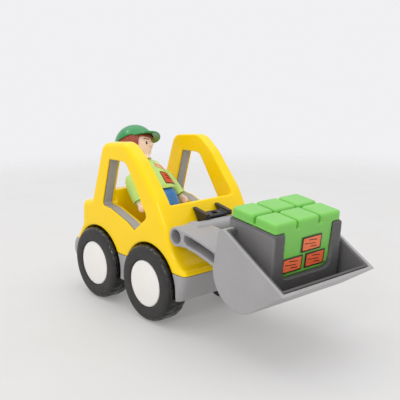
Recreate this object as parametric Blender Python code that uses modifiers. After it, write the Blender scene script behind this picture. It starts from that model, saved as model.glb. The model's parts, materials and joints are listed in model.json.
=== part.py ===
"""Toy wheel loader with a driver and a load of blocks, built as separate moulded pieces.

Outlines are given in millimetres in a working frame: +X points forwards to the scoop, +Y to the
driver's left, +Z up, with X = 0 midway between the axles and Z = 0 on the ground. One empty
carries the whole toy and centres its overall length on the origin.
"""
import math

import bmesh
import bpy
from mathutils import Matrix, Vector, geometry

MM = 0.001
GAP = 0.3

# Driving dimensions in millimetres.
LENGTH_CENTRE_X = 35.0
WHEEL_RADIUS = 21.0
AXLE_X = 24.55
WHEEL_FACE_Y = 33.4
WHEEL_BACK_Y = 19.5
RIM_RADIUS = 12.7
AXLE_RADIUS = 1.5
ARCH_RADIUS = 22.1
ARCH_BACK_Y = 18.0
BODY_HALF_Y = 30.1
SHELL_EDGE = 3.0
FRAME_INNER_Y = 22.0
FRAME_SKIN = 1.1
LINER_WALL = 0.8
SEAM_Z = 31.0
CHASSIS_BOTTOM_Z = 16.0
BUMPER_EDGE = 3.8
CHASSIS_WALL_Y = 16.0
CAB_FLOOR_Z = 38.0
WELL_HALF_Y = 15.5
SILL_Z = 47.2
COWL_X, COWL_Z = 32.8, 63.4
SEAT_BACK_X, SEAT_BACK_Z = -17.4, 64.0
SCREW_SPOTS = [(-8.0, -10.0), (-8.0, 10.0), (9.0, -10.0), (9.0, 10.0)]

TUBE_X, TUBE_Z = 47.9, 51.1
TUBE_RADIUS, TUBE_BORE = 5.1, 3.7
CLIP_GRIP = 5.5
CLIP_OUTER = 7.3
ARM_INNER_Y = 20.0
SCOOP_HALF_Y = 32.0
SCOOP_WALL = 1.8
SCOOP_CURL_X, SCOOP_CURL_Z, SCOOP_CURL_RADIUS = 95.3, 42.2, 17.4
SCOOP_FLOOR_DEG = 32.5
SCOOP_LIP = (123.8, 39.8)
SCOOP_REAR_TOP = (82.3, 64.4816)
SCOOP_EAR_RADIUS = 3.0
SCOOP_BACK_Z = 50.6

POCKET_X, POCKET_Z = 80.0, 66.8
POCKET_TILT_DEG = 7.5
POCKET_LENGTH, POCKET_HALF_Y = 30.8, 23.4
POCKET_WALL, POCKET_FRONT_WALL = 1.3, 1.5
POCKET_DEPTH = 23.2
POCKET_STEP_Z = 51.2
OPENING_HALF_Y = 17.0
OPENING_BOTTOM_Z = 40.3
TRAY_WALL = 1.3
TRAY_HALF_Y = 29.9
TRAY_BELOW_RIM = 0.5

BLOCK_PITCH, BLOCK_LENGTH, BLOCK_WIDTH, BLOCK_HEIGHT = 15.4, 14.3, 14.6, 5.0
LOAD_BACK, LOAD_FRONT = 0.4, 29.8
LABEL_SIZE = (0.3, 13.6, 7.4)
LABEL_SPOTS = [(2.6, -8.0), (-9.5, -16.5), (6.2, -16.5)]

HIP_X, HIP_Z = -1.0, 59.0
DRIVER_LEAN_DEG = 41.0
LEG_BEND_DEG = 10.0
HIP_RADIUS = 6.2
HEAD_TURN_DEG = 38.0
HEAD_CENTRE, HEAD_SET_BACK = 37.8, 1.2
HEAD_RADIUS, HAIR_RADIUS, CAP_RADIUS = 10.3, 11.3, 12.2
BRIM_DROP_DEG, BRIM_RADIUS, BRIM_REACH = 24.0, 8.8, 15.6
SHOULDER_SET_BACK, SHOULDER_Y, SHOULDER_UP = 4.0, 12.6, 16.3
ARM_SPLAY_DEG, ARM_BACK_DEG = 8.0, -5.0
ARM_LENGTH = 16.3

COLOURS = {
    "yellow": ((0.93, 0.69, 0.02), 0.35, 0.0),
    "light_grey": ((0.34, 0.33, 0.33), 0.4, 0.0),
    "dark_grey": ((0.09, 0.085, 0.085), 0.45, 0.0),
    "black": ((0.015, 0.014, 0.015), 0.4, 0.0),
    "white": ((0.82, 0.80, 0.78), 0.35, 0.0),
    "tyre_black": ((0.035, 0.034, 0.033), 0.6, 0.0),
    "green": ((0.24, 0.58, 0.14), 0.35, 0.0),
    "orange": ((0.83, 0.17, 0.05), 0.4, 0.0),
    "cap_green": ((0.03, 0.32, 0.10), 0.35, 0.0),
    "brown": ((0.22, 0.05, 0.03), 0.4, 0.0),
    "skin": ((0.75, 0.48, 0.38), 0.4, 0.0),
    "sleeve_green": ((0.42, 0.68, 0.17), 0.4, 0.0),
    "blue": ((0.05, 0.19, 0.47), 0.4, 0.0),
    "steel": ((0.55, 0.55, 0.57), 0.3, 1.0),
}

for old in list(bpy.data.objects):
    bpy.data.objects.remove(old, do_unlink=True)

toy = bpy.data.collections.new("toy_wheel_loader")
tools = bpy.data.collections.new("cutters")
for collection in (toy, tools):
    bpy.context.scene.collection.children.link(collection)

toy_frame = bpy.data.objects.new("toy_frame", None)
toy_frame.location.x = -LENGTH_CENTRE_X * MM
toy.objects.link(toy_frame)


# ---------------------------------------------------------------- outlines

def rounded(corners, steps=4):
    """Closed outline through corners (x, z, radius), each filleted with an arc."""
    outline = []
    for index, (x, z, radius) in enumerate(corners):
        corner = Vector((x, z))
        if radius == 0:
            outline.append((x, z))
            continue
        back = (Vector(corners[index - 1][:2]) - corner).normalized()
        ahead = (Vector(corners[(index + 1) % len(corners)][:2]) - corner).normalized()
        half_angle = back.angle(ahead) / 2
        centre = corner + (back + ahead).normalized() * radius / math.sin(half_angle)
        reach = radius / math.tan(half_angle)
        start = corner + back * reach - centre
        end = corner + ahead * reach - centre
        first = math.atan2(start.y, start.x)
        sweep = math.atan2(start.x * end.y - start.y * end.x, start.dot(end))
        for step in range(steps + 1):
            angle = first + sweep * step / steps
            outline.append((centre.x + radius * math.cos(angle), centre.y + radius * math.sin(angle)))
    return outline


def arc(x, z, radius, start_deg, end_deg, steps=8):
    """Points on an arc about (x, z), both ends included."""
    angles = [math.radians(start_deg + (end_deg - start_deg) * i / steps) for i in range(steps + 1)]
    return [(x + radius * math.cos(a), z + radius * math.sin(a)) for a in angles]


def offset(outline, distance):
    """Closed outline moved outwards by distance, with mitred corners."""
    area = sum(x0 * z1 - x1 * z0 for (x0, z0), (x1, z1) in zip(outline, outline[1:] + outline[:1]))
    outwards = distance if area > 0 else -distance
    moved = []
    for index, point in enumerate(outline):
        here = Vector(point)
        before = (here - Vector(outline[index - 1])).normalized()
        after = (Vector(outline[(index + 1) % len(outline)]) - here).normalized()
        bisector = (before + after).normalized()
        normal = Vector((bisector.y, -bisector.x))
        moved.append(tuple(here + normal * outwards / max(bisector.dot(after), 0.3)))
    return moved


def crossing(a, b, c, d):
    """Point where the segments a-b and c-d cross."""
    return tuple(geometry.intersect_line_line_2d(a, b, c, d))


def in_pocket(u, w):
    """World (x, z) of a point u along and w above the tilted rim of the pocket."""
    tilt = math.radians(POCKET_TILT_DEG)
    x = POCKET_X + u * math.cos(tilt) + w * math.sin(tilt)
    z = POCKET_Z - u * math.sin(tilt) + w * math.cos(tilt)
    return (x, z)


# ---------------------------------------------------------------- solids

def finish_object(name, mesh, collection, colour):
    """Wrap a mesh in an object in one of the two collections, with its own material."""
    obj = bpy.data.objects.new(name, mesh)
    collection.objects.link(obj)
    obj.parent = toy_frame
    if collection is tools:
        obj.hide_render = True
        obj.display_type = "WIRE"
        return obj
    rgb, roughness, metallic = COLOURS[colour]
    material = bpy.data.materials.new(name)
    material.use_nodes = True
    shader = material.node_tree.nodes["Principled BSDF"]
    shader.inputs["Base Color"].default_value = (*rgb, 1.0)
    shader.inputs["Roughness"].default_value = roughness
    shader.inputs["Metallic"].default_value = metallic
    mesh.materials.clear()
    mesh.materials.append(material)
    return obj


def extruded(name, outlines, y_from, y_to, collection=tools, colour=None):
    """Solid made by running closed (x, z) outlines from y_from to y_to."""
    curve = bpy.data.curves.new(name, "CURVE")
    curve.dimensions = "2D"
    curve.fill_mode = "BOTH"
    curve.extrude = abs(y_to - y_from) / 2 * MM
    for outline in outlines:
        spline = curve.splines.new("POLY")
        spline.points.add(len(outline) - 1)
        for point, (x, z) in zip(spline.points, outline):
            point.co = (x * MM, z * MM, 0.0, 1.0)
        spline.use_cyclic_u = True
    drawn = bpy.data.objects.new(name + "_outline", curve)
    bpy.context.scene.collection.objects.link(drawn)
    bpy.context.view_layer.update()
    evaluated = drawn.evaluated_get(bpy.context.evaluated_depsgraph_get())
    mesh = bpy.data.meshes.new_from_object(evaluated)
    bpy.data.objects.remove(drawn, do_unlink=True)
    weld(mesh)
    middle = Matrix.Translation((0.0, (y_from + y_to) / 2 * MM, 0.0))
    mesh.transform(middle @ Matrix.Rotation(math.pi / 2, 4, "X"))
    return finish_object(name, mesh, collection, colour)


def weld(mesh):
    """Join the loose caps of a filled curve to its walls, with one flat face per cap."""
    data = bmesh.new()
    data.from_mesh(mesh)
    bmesh.ops.remove_doubles(data, verts=data.verts, dist=1e-6)
    bmesh.ops.dissolve_limit(data, angle_limit=math.radians(0.1), verts=data.verts,
                             edges=data.edges)
    bmesh.ops.recalc_face_normals(data, faces=data.faces)
    data.to_mesh(mesh)
    data.free()


def box(name, low, high, collection=tools, colour=None, matrix=None):
    """Cuboid between two corners in millimetres, with its scale applied."""
    data = bmesh.new()
    bmesh.ops.create_cube(data, size=1.0)
    size = [(b - a) * MM for a, b in zip(low, high)]
    centre = [(a + b) / 2 * MM for a, b in zip(low, high)]
    bmesh.ops.scale(data, verts=data.verts, vec=size)
    bmesh.ops.translate(data, verts=data.verts, vec=centre)
    return from_bmesh(name, data, collection, colour, matrix)


def cylinder(name, start, end, radius, sides=32, collection=tools, colour=None):
    """Cylinder between the centres of its two ends, in millimetres."""
    start, end = Vector(start) * MM, Vector(end) * MM
    along = end - start
    data = bmesh.new()
    bmesh.ops.create_cone(data, cap_ends=True, segments=sides, radius1=radius * MM,
                          radius2=radius * MM, depth=along.length)
    turn = along.to_track_quat("Z", "Y").to_matrix().to_4x4()
    bmesh.ops.transform(data, verts=data.verts, matrix=Matrix.Translation((start + end) / 2) @ turn)
    return from_bmesh(name, data, collection, colour, None)


def ball(name, centre, radius, stretch=(1, 1, 1), sides=24, collection=tools, colour=None):
    """Sphere, or an ellipsoid when stretched, in millimetres."""
    data = bmesh.new()
    bmesh.ops.create_uvsphere(data, u_segments=sides, v_segments=sides * 2 // 3, radius=radius * MM)
    bmesh.ops.scale(data, verts=data.verts, vec=stretch)
    bmesh.ops.translate(data, verts=data.verts, vec=Vector(centre) * MM)
    return from_bmesh(name, data, collection, colour, None)


def from_bmesh(name, data, collection, colour, matrix):
    """Object from a bmesh, moved by a matrix where one is given."""
    if matrix is not None:
        bmesh.ops.transform(data, verts=data.verts, matrix=matrix)
    mesh = bpy.data.meshes.new(name)
    data.to_mesh(mesh)
    data.free()
    return finish_object(name, mesh, collection, colour)


def turned(name, profile, steps=48, collection=toy, colour=None):
    """Solid of revolution about Z from (radius, height) points, outer side first, going down."""
    mesh = bpy.data.meshes.new(name)
    points = [(radius * MM, 0.0, height * MM) for radius, height in profile]
    closed = min(radius for radius, _ in profile) > 0
    links = [(i, i + 1) for i in range(len(points) - 1)]
    if closed:
        links.append((len(points) - 1, 0))
    mesh.from_pydata(points, links, [])
    obj = finish_object(name, mesh, collection, colour)
    screw = obj.modifiers.new("turn", "SCREW")
    screw.steps = steps
    screw.render_steps = steps
    screw.use_merge_vertices = True
    screw.merge_threshold = 1e-6
    return obj


def combine(obj, operand, operation):
    """Add an exact Boolean to an object."""
    boolean = obj.modifiers.new(operand.name, "BOOLEAN")
    boolean.object = operand
    boolean.operation = operation
    boolean.solver = "EXACT"


def cut(obj, *cutters):
    """Subtract each cutter from an object."""
    for cutter in cutters:
        combine(obj, cutter, "DIFFERENCE")


def join(obj, *pieces):
    """Unite an object with each piece."""
    for piece in pieces:
        combine(obj, piece, "UNION")


def round_edges(obj, width, segments=2, angle_deg=50):
    """Round the edges that turn by more than the given angle, by the full width."""
    bevel = obj.modifiers.new("rounding", "BEVEL")
    bevel.width = width * MM
    bevel.segments = segments
    bevel.limit_method = "ANGLE"
    bevel.angle_limit = math.radians(angle_deg)
    bevel.use_clamp_overlap = False


def set_origin(obj, x, y, z):
    """Put an object's origin on a point, leaving its shape where it is."""
    point = Vector((x, y, z)) * MM
    obj.data.transform(Matrix.Translation(-point))
    obj.location = point


# ---------------------------------------------------------------- cab body

SIDE_OUTLINE = rounded([
    (-49.6, 22.0, 0), (-48.9, 31.5, 3.4), (-41.5, 41.5, 6), (-40.4, 55.6, 3.4), (-30.4, 57.4, 3),
    (-17.6, 92.0, 7), (4.5, 94.2, 12), (15.2, 86.2, 30), (32.6, 66.4, 30), (40.4, 51.6, 22),
    (44.4, 40.6, 16), (50.2, 34.4, 6), (54.9, 33.2, 3.2), (54.3, 22.0, 0),
], 6)
WINDOW_OUTLINE = rounded([
    (-10.3, 83.5, 0.6), (-18.9, 56.3, 1.5), (-10.7, 55.5, 8), (5.6, 50.5, 14), (11.5, 47.2, 0.5),
    (23.6, 56.6, 2.5), (5.2, 83.7, 5.5),
], 5)


def arch_cutters():
    """The four wheel arches, shared by the body and the chassis."""
    cutters = []
    for x in (-AXLE_X, AXLE_X):
        for side in (-1, 1):
            start = (x, side * ARCH_BACK_Y, WHEEL_RADIUS)
            end = (x, side * (BODY_HALF_Y + 4), WHEEL_RADIUS)
            cutters.append(cylinder("arch", start, end, ARCH_RADIUS, sides=40))
    return cutters


def build_body_shell(arches):
    """Yellow shell: hood, rear deck, seat back and the two open cab side frames."""
    shell = extruded("body_shell", [SIDE_OUTLINE], -BODY_HALF_Y, BODY_HALF_Y, toy, "yellow")
    round_edges(shell, SHELL_EDGE, segments=4, angle_deg=75)
    between_frames = extruded("between_frames", [[
        (-60, 57.4), (-24.0, 57.4), (-23.4, SEAT_BACK_Z), (SEAT_BACK_X, SEAT_BACK_Z),
        (SEAT_BACK_X + 0.6, SILL_Z), (30.4, SILL_Z), (31.2, COWL_Z - 0.8), (COWL_X, COWL_Z),
        (60, COWL_Z), (60, 100), (-60, 100),
    ]], -FRAME_INNER_Y, FRAME_INNER_Y)
    well = box("cab_well", (-16.6, -WELL_HALF_Y, CAB_FLOOR_Z), (30.3, WELL_HALF_Y, SILL_Z + 1))
    below_seam = box("below_seam", (-70, -40, 0), (70, 40, SEAM_Z))
    hood_hollow = extruded("hood_hollow", [[
        (32.5, 20), (32.5, 59.5), (34.2, 58.9), (37.8, 51.5), (42.0, 40.5), (46.0, 35.5), (46, 20),
    ]], -CHASSIS_WALL_Y, CHASSIS_WALL_Y)
    rear_hollow = extruded("rear_hollow", [[
        (-38.3, 20), (-38.3, 50), (-36, 53.5), (-30, 55.2), (-22, 55.2), (-22, 20),
    ]], -CHASSIS_WALL_Y, CHASSIS_WALL_Y)
    floor_hollow = box("floor_hollow", (-23, -CHASSIS_WALL_Y, 20),
                       (33, CHASSIS_WALL_Y, CAB_FLOOR_Z - 2))
    cut(shell, between_frames, well, below_seam, hood_hollow, rear_hollow, floor_hollow)
    groove = offset(WINDOW_OUTLINE, LINER_WALL + GAP)
    for side in (-1, 1):
        near, far = side * (FRAME_INNER_Y - 1), side * (BODY_HALF_Y + 1)
        cut(shell, extruded("window", [WINDOW_OUTLINE], near, far))
        near, far = side * (FRAME_INNER_Y + FRAME_SKIN), side * (BODY_HALF_Y - FRAME_SKIN)
        cut(shell, extruded("liner_groove", [groove], near, far))
    cut(shell, *arches)
    for x, y in SCREW_SPOTS:
        top, low = CAB_FLOOR_Z - 1, CHASSIS_BOTTOM_Z + 2 + GAP
        join(shell, cylinder("screw_boss", (x, y, low), (x, y, top), 3.4, sides=16))
        cut(shell, cylinder("boss_hole", (x, y, low - 1), (x, y, top - 3), 1.6, sides=12))
    for y in (-4.0, 4.0):
        cut(shell, cylinder("peg_hole", (33, y, 54.2), (45, y, 54.2), 2.2 + GAP, sides=16))
    return shell


def build_liner(side):
    """Grey liner that lines one cab window between the two yellow skins of its frame."""
    name = "window_liner_left" if side > 0 else "window_liner_right"
    outer = offset(WINDOW_OUTLINE, LINER_WALL)
    near = side * (FRAME_INNER_Y + FRAME_SKIN + GAP)
    far = side * (BODY_HALF_Y - FRAME_SKIN - GAP)
    return extruded(name, [outer, WINDOW_OUTLINE], near, far, toy, "light_grey")


def build_chassis(arches):
    """Grey tray under the body, with a bumper at each end and a bearing hole for each axle."""
    outline = rounded([
        (-46.8, 38, 0), (-52.8, 28.6, 5), (-54.2, 23.2, 6), (-51.6, 18.4, 5), (-46.2, 8, 0),
        (45.4, 8, 0), (57.3, 38, 0),
    ])
    chassis = extruded("chassis", [outline], -BODY_HALF_Y, BODY_HALF_Y, toy, "light_grey")
    round_edges(chassis, BUMPER_EDGE, segments=4, angle_deg=75)
    above = box("above_seam", (-70, -40, SEAM_Z - GAP), (70, 40, 60))
    below = box("below_chassis", (-70, -40, 0), (70, 40, CHASSIS_BOTTOM_Z))
    hollow = box("tray_hollow", (-46, -CHASSIS_WALL_Y, CHASSIS_BOTTOM_Z + 2),
                 (46.5, CHASSIS_WALL_Y, 60))
    cut(chassis, above, below, hollow, *arches)
    for x in (-AXLE_X, AXLE_X):
        cut(chassis, cylinder("bearing", (x, -22, WHEEL_RADIUS), (x, 22, WHEEL_RADIUS),
                              AXLE_RADIUS + GAP, sides=24))
    for x, y in SCREW_SPOTS:
        cut(chassis,
            cylinder("screw_hole", (x, y, 10), (x, y, 25), 1.3 + GAP, sides=12),
            cylinder("counterbore", (x, y, 10), (x, y, CHASSIS_BOTTOM_Z + 1.2), 2.9, sides=16))
    return chassis


def build_chassis_screws():
    """Four pan-head screws that hold the chassis to the body."""
    for number, (x, y) in enumerate(SCREW_SPOTS, 1):
        under = CHASSIS_BOTTOM_Z + 0.2
        screw = cylinder("chassis_screw_%d" % number, (x, y, under), (x, y, under + 0.7), 2.5, 16,
                         toy, "steel")
        join(screw, cylinder("screw_shank", (x, y, under), (x, y, under + 12.6), 1.3, sides=12))


# ---------------------------------------------------------------- wheels

def build_axle(name, x):
    """Steel axle that carries two wheels."""
    reach = WHEEL_FACE_Y - 3.0
    axle = cylinder(name, (x, -reach, WHEEL_RADIUS), (x, reach, WHEEL_RADIUS), AXLE_RADIUS, 24,
                    toy, "steel")
    set_origin(axle, x, 0, WHEEL_RADIUS)


def build_wheel(place, x, side):
    """White wheel with a boss for the axle, and the tyre around it."""
    width = WHEEL_FACE_Y - WHEEL_BACK_Y
    crown, shoulder = WHEEL_RADIUS, WHEEL_RADIUS - 2.3
    tyre = turned("tyre_" + place, [
        (shoulder, width), (crown - 1.0, width - 0.5), (crown - 0.2, width - 1.6),
        (crown, width - 3.2), (crown, 3.2), (crown - 0.2, 1.6), (crown - 1.0, 0.5), (shoulder, 0),
        (RIM_RADIUS + GAP, 0), (RIM_RADIUS + GAP, width),
    ], 48, toy, "tyre_black")
    hub = turned("hub_" + place, [
        (0, width + 0.1), (RIM_RADIUS * 0.7, width - 0.05), (RIM_RADIUS, width - 0.5),
        (RIM_RADIUS, 0.6), (RIM_RADIUS - 1.6, 0.6), (RIM_RADIUS - 1.6, width - 2.4),
        (4.0, width - 2.4), (4.0, -0.8), (AXLE_RADIUS + GAP, -0.8),
        (AXLE_RADIUS + GAP, width - 2.6), (0, width - 2.6),
    ], 32, toy, "white")
    for piece in (tyre, hub):
        piece.location = Vector((x, side * WHEEL_BACK_Y, WHEEL_RADIUS)) * MM
        piece.rotation_euler.x = -side * math.pi / 2


# ---------------------------------------------------------------- loader

def build_hinge_bracket():
    """Black clip pegged into the hood: two cheeks with jaws that grip the cross tube."""
    cheek = [(36.0, 61.3), (47.6, 59.0)]
    cheek += arc(TUBE_X, TUBE_Z, CLIP_GRIP, 93, 285, 12)
    cheek += arc(TUBE_X, TUBE_Z, CLIP_OUTER, 285, 228, 5)
    cheek += [(41.6, 49.6), (39.2, 56.4)]
    web = [(40.6, 58.9), (46.6, 57.7), (46.6, 56.8), (43.6, 55.0), (42.2, 52.6), (42.2, 50.4),
           (41.3, 50.4), (39.9, 54.4)]
    bracket = extruded("hinge_bracket", [cheek], -9.0, -6.5, toy, "black")
    join(bracket, extruded("cheek", [cheek], 6.5, 9.0), extruded("web", [web], -6.8, 6.8))
    cut(bracket, box("slot", (42.0, -1.6, 56.9), (44.8, 1.6, 62)))
    for y in (-4.0, 4.0):
        join(bracket, cylinder("peg", (33.2, y, 54.2), (41.8, y, 54.2), 2.2, sides=16))
    return bracket


def floor_line(distance, reach):
    """Point on the scoop's straight floor, a distance above its underside."""
    slope = math.radians(SCOOP_FLOOR_DEG)
    radius = SCOOP_CURL_RADIUS - distance
    x = SCOOP_CURL_X + radius * math.sin(slope) + reach * math.cos(slope)
    z = SCOOP_CURL_Z - radius * math.cos(slope) + reach * math.sin(slope)
    return (x, z)


def scoop_inside(depth):
    """Inside of the scoop at a wall depth, open above the rim."""
    curl = arc(SCOOP_CURL_X, SCOOP_CURL_Z, SCOOP_CURL_RADIUS - depth, SCOOP_FLOOR_DEG - 90, -180)
    back = [(80.3 - SCOOP_WALL + depth, 50.0), (88.8 - SCOOP_WALL + depth, 70.0)]
    return [floor_line(depth, 26)] + curl + back + [(back[-1][0], 75), (127, 75)]


def build_loader_scoop():
    """Light-grey lifting arms, cross tube and scoop, moulded in one piece."""
    curl = arc(SCOOP_CURL_X, SCOOP_CURL_Z, SCOOP_CURL_RADIUS, SCOOP_FLOOR_DEG - 90, -180)
    ear = rounded([(80.2, 50.4, 0), (*SCOOP_REAR_TOP, SCOOP_EAR_RADIUS), (*SCOOP_LIP, 0)])
    outside = [SCOOP_LIP] + curl + ear[:-1]
    scoop = extruded("loader_scoop", [outside], -SCOOP_HALF_Y, SCOOP_HALF_Y, toy, "light_grey")
    cut(scoop, extruded("scoop_inside", [scoop_inside(SCOOP_WALL)],
                        -SCOOP_HALF_Y + SCOOP_WALL, SCOOP_HALF_Y - SCOOP_WALL))
    cut(scoop, box("back_opening", (70, -24.6, SCOOP_BACK_Z), (92, 24.6, 70)))
    tube = cylinder("cross_tube", (TUBE_X, -BODY_HALF_Y, TUBE_Z), (TUBE_X, BODY_HALF_Y, TUBE_Z),
                    TUBE_RADIUS)
    join(scoop, tube)
    arm_top = [(TUBE_X, 56.1), (53.9, 55.2), (59.3, 54.6), (66.8, 53.0), (74.1, 51.1), (80.0, 49.4)]
    arm_low = [(79.2, 40.6), (76.3, 42.1), (70.5, 43.8), (63.0, 45.6), (55.4, 46.9), (TUBE_X, 46.4)]
    channel = [(54.6, 53.2), (59.3, 52.9), (66.8, 51.3), (73.9, 49.5), (77.0, 48.6), (76.6, 43.7),
               (70.9, 45.4), (63.4, 47.2), (55.4, 48.6), (54.0, 50.4)]
    sheet_top = arm_top[1:]
    sheet = sheet_top + [(x, z - 1.6) for x, z in reversed(sheet_top)]
    for side in (-1, 1):
        arm = extruded("arm", [arm_top + arm_low], side * ARM_INNER_Y, side * BODY_HALF_Y)
        join(scoop, arm)
        join(scoop, extruded("arm_sheet", [sheet], side * 10.6, side * (ARM_INNER_Y + 0.5)))
        join(scoop, cylinder("collar", (TUBE_X, side * 15.5, TUBE_Z), (TUBE_X, side * 19.5, TUBE_Z),
                             TUBE_RADIUS + 0.8))
        cut(scoop, extruded("arm_channel", [channel], side * 21.6, side * (BODY_HALF_Y + 1)))
    lower_web = [(57.5, 49.4), (80.2, 45.0), (80.0, 43.2), (57.3, 47.6)]
    join(scoop, extruded("lower_web", [lower_web], -ARM_INNER_Y - 0.5, ARM_INNER_Y + 0.5))
    cut(scoop, cylinder("tube_bore", (TUBE_X, -40, TUBE_Z), (TUBE_X, 40, TUBE_Z), TUBE_BORE, 24))
    set_origin(scoop, TUBE_X, 0, TUBE_Z)
    return scoop


def lining_outline():
    """Side view of the scoop's lining, cut off a little below the rim."""
    outline = scoop_inside(SCOOP_WALL + GAP)
    drop = Vector((0.0, -TRAY_BELOW_RIM))
    rim_rear = Vector(SCOOP_REAR_TOP) + drop
    rim_lip = Vector(SCOOP_LIP) + drop
    rear, lip = tuple(rim_rear * 1.5 - rim_lip * 0.5), tuple(rim_lip * 1.5 - rim_rear * 0.5)
    front_end = crossing(outline[0], outline[1], rear, lip)
    back_end = crossing(outline[-4], outline[-3], rear, lip)
    return [front_end] + outline[1:-3] + [back_end]


def build_scoop_insert():
    """Dark-grey liner of the scoop with an upright pocket that holds the load."""
    tray = extruded("scoop_insert", [lining_outline()], -TRAY_HALF_Y, TRAY_HALF_Y, toy, "dark_grey")
    inside = scoop_inside(SCOOP_WALL + GAP + TRAY_WALL)
    cut(tray, extruded("tray_inside", [inside], -TRAY_HALF_Y + TRAY_WALL, TRAY_HALF_Y - TRAY_WALL))
    cut(tray, box("tray_back_opening", (70, -24.3, SCOOP_BACK_Z), (92, 24.3, 75)))
    in_floor = SCOOP_CURL_RADIUS - SCOOP_WALL - GAP - TRAY_WALL / 2
    pocket = [in_pocket(0, 0), in_pocket(POCKET_LENGTH, 0), (108.0, 32.8)]
    pocket += arc(SCOOP_CURL_X, SCOOP_CURL_Z, in_floor, -60, -180, 10)
    pocket += [(81.6, POCKET_STEP_Z), (in_pocket(0, -15.6)[0], POCKET_STEP_Z)]
    solid = extruded("pocket", [pocket], -POCKET_HALF_Y, POCKET_HALF_Y)
    round_edges(solid, 1.2, segments=2, angle_deg=75)
    join(tray, solid)
    cut(tray, extruded("pocket_inside", [pocket_inside(0.0)],
                       -POCKET_HALF_Y + POCKET_WALL, POCKET_HALF_Y - POCKET_WALL))
    hollow = [in_pocket(8.5, -POCKET_DEPTH - 1.5), in_pocket(28.0, -POCKET_DEPTH - 1.5),
              (104.5, 20.0), (86.5, 20.0)]
    cut(tray, extruded("pocket_underside", [hollow], -POCKET_HALF_Y + 2, POCKET_HALF_Y - 2))
    opening = box("front_opening", (104.5, -OPENING_HALF_Y, OPENING_BOTTOM_Z),
                  (115.0, OPENING_HALF_Y, 80.0))
    round_edges(opening, 4.0, segments=3)
    cut(tray, opening)
    set_origin(tray, TUBE_X, 0, TUBE_Z)
    return tray


def pocket_inside(clearance):
    """Hollow of the pocket in side view, shrunk by a clearance and open at the top."""
    back = POCKET_WALL + clearance
    front = POCKET_LENGTH - POCKET_FRONT_WALL - clearance
    floor = -POCKET_DEPTH + clearance
    step_x = 82.6 + POCKET_WALL + clearance
    step_z = POCKET_STEP_Z + POCKET_WALL + clearance
    return [in_pocket(back, 3), in_pocket(front, 3), in_pocket(front, floor),
            in_pocket(step_x - POCKET_X + 3.0, floor), (step_x, step_z),
            (in_pocket(back, -14.2)[0], step_z)]


# ---------------------------------------------------------------- load

def tilted():
    """Placement of pieces drawn along the pocket's tilted rim, about its rear edge."""
    place = Matrix.Translation(Vector((POCKET_X, 0, POCKET_Z)) * MM)
    return place @ Matrix.Rotation(math.radians(POCKET_TILT_DEG), 4, "Y")


def build_brick_load():
    """Green block with six cushion-shaped tops, standing in the pocket."""
    half = POCKET_HALF_Y - POCKET_WALL - GAP
    load = extruded("brick_load", [load_outline()], -half, half, toy, "green")
    face_y = OPENING_HALF_Y - 0.5
    face = box("load_face", (20, -face_y, -18.0), (LOAD_FRONT, face_y, 1.0), matrix=tilted())
    corner = box("load_corner", (22, -face_y + 0.5, -20.4), (LOAD_FRONT, face_y - 0.5, -12.0),
                 matrix=tilted())
    foot = box("load_foot", (21, -face_y + 4, -22.0), (LOAD_FRONT, face_y - 4, -10.0),
               matrix=tilted())
    half_slab = POCKET_HALF_Y - 0.4
    slab = box("load_slab", (LOAD_BACK, -half_slab, GAP), (LOAD_FRONT - 0.2, half_slab, 1.4),
               matrix=tilted())
    join(load, face, corner, foot, slab)
    for u in (LOAD_BACK, LOAD_FRONT - BLOCK_LENGTH):
        for column in (-1, 0, 1):
            y = column * BLOCK_PITCH - BLOCK_WIDTH / 2
            top = box("block", (u, y, 0.6), (u + BLOCK_LENGTH, y + BLOCK_WIDTH, BLOCK_HEIGHT),
                      matrix=tilted())
            round_edges(top, 1.6, segments=2)
            join(load, top)
    return load


def load_outline():
    """Side view of the part of the load that stands in the pocket."""
    inside = pocket_inside(GAP)
    inside[0] = in_pocket(POCKET_WALL + GAP, 1.0)
    inside[1] = in_pocket(POCKET_LENGTH - POCKET_FRONT_WALL - GAP, 1.0)
    return inside


def build_labels():
    """Three thin orange brick labels on the front of the load."""
    depth, width, height = LABEL_SIZE
    for number, (y, w) in enumerate(LABEL_SPOTS, 1):
        u = LOAD_FRONT + GAP
        box("brick_label_%d" % number, (u, y - width / 2, w - height / 2),
            (u + depth, y + width / 2, w + height / 2), toy, "orange", tilted())


# ---------------------------------------------------------------- driver

def driver_part(obj, frame, location=(0, 0, 0), rotation=(0, 0, 0)):
    """Place a driver piece in its parent frame."""
    obj.parent = frame
    obj.location = Vector(location) * MM
    obj.rotation_euler = rotation
    return obj


def frame_empty(name, parent, location, rotation):
    """Empty that carries pieces at a joint."""
    empty = bpy.data.objects.new(name, None)
    toy.objects.link(empty)
    return driver_part(empty, parent, location, rotation)


def build_torso(frame):
    """Light-green torso, narrower at the shoulders, with a print on its left chest."""
    data = bmesh.new()
    bmesh.ops.create_cube(data, size=1.0)
    bmesh.ops.scale(data, verts=data.verts, vec=Vector((14.0, 19.0, 22.3)) * MM)
    bmesh.ops.translate(data, verts=data.verts, vec=Vector((0, 0, 13.4)) * MM)
    for vertex in data.verts:
        if vertex.co.z > 13.4 * MM:
            vertex.co.x *= 0.76
            vertex.co.y *= 0.82
    torso = from_bmesh("driver_torso", data, toy, "sleeve_green", None)
    round_edges(torso, 2.4, segments=3)
    driver_part(torso, frame)
    hip_room = cylinder("hip_room", (0, -12, 0), (0, 12, 0), HIP_RADIUS + GAP, 32)
    cut(torso, driver_part(hip_room, frame))
    print_tilt = math.atan2(14.0 * 0.12, 22.3)
    vest = box("driver_vest_print", (0, 1.0, -7.8), (0.3, 6.8, 7.8), toy, "orange")
    driver_part(vest, frame, (6.65, 0, 12.0), (0, -print_tilt, 0))


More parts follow.
